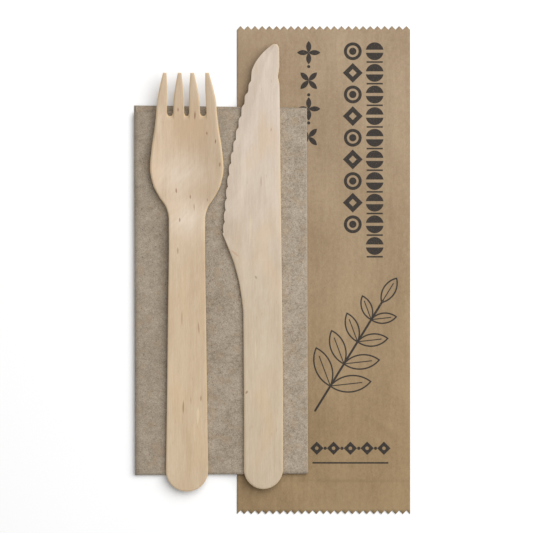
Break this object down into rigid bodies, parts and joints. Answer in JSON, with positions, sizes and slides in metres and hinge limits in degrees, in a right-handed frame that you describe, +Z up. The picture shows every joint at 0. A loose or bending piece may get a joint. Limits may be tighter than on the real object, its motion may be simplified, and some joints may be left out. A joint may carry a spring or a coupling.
{
  "type": "wooden cutlery pack",
  "caption": "Disposable cutlery set laid out flat: wooden fork and knife on a folded tissue napkin, over a pinked kraft paper bag.",
  "frame": {"origin": "middle of the laid-out set's bounding box, on the table top that it lies on", "axes": "+Z up from the table, +Y from the handles towards the tines and the knife's tip, +X towards the bag"},
  "size_m": [0.1021, 0.1806, 0.0085],
  "materials": {
    "kraft_paper": "uncoated brown kraft paper with soft creases and dark brown print",
    "tissue": "unbleached recycled tissue, soft and speckled",
    "birch_wood": "bare sanded birch veneer with fine grain and brown flecks"
  },
  "bodies": {
    "root": {"kraft_bag": "kraft_paper", "napkin": "tissue", "fork": "birch_wood", "knife": "birch_wood"}
  },
  "joints": []
}
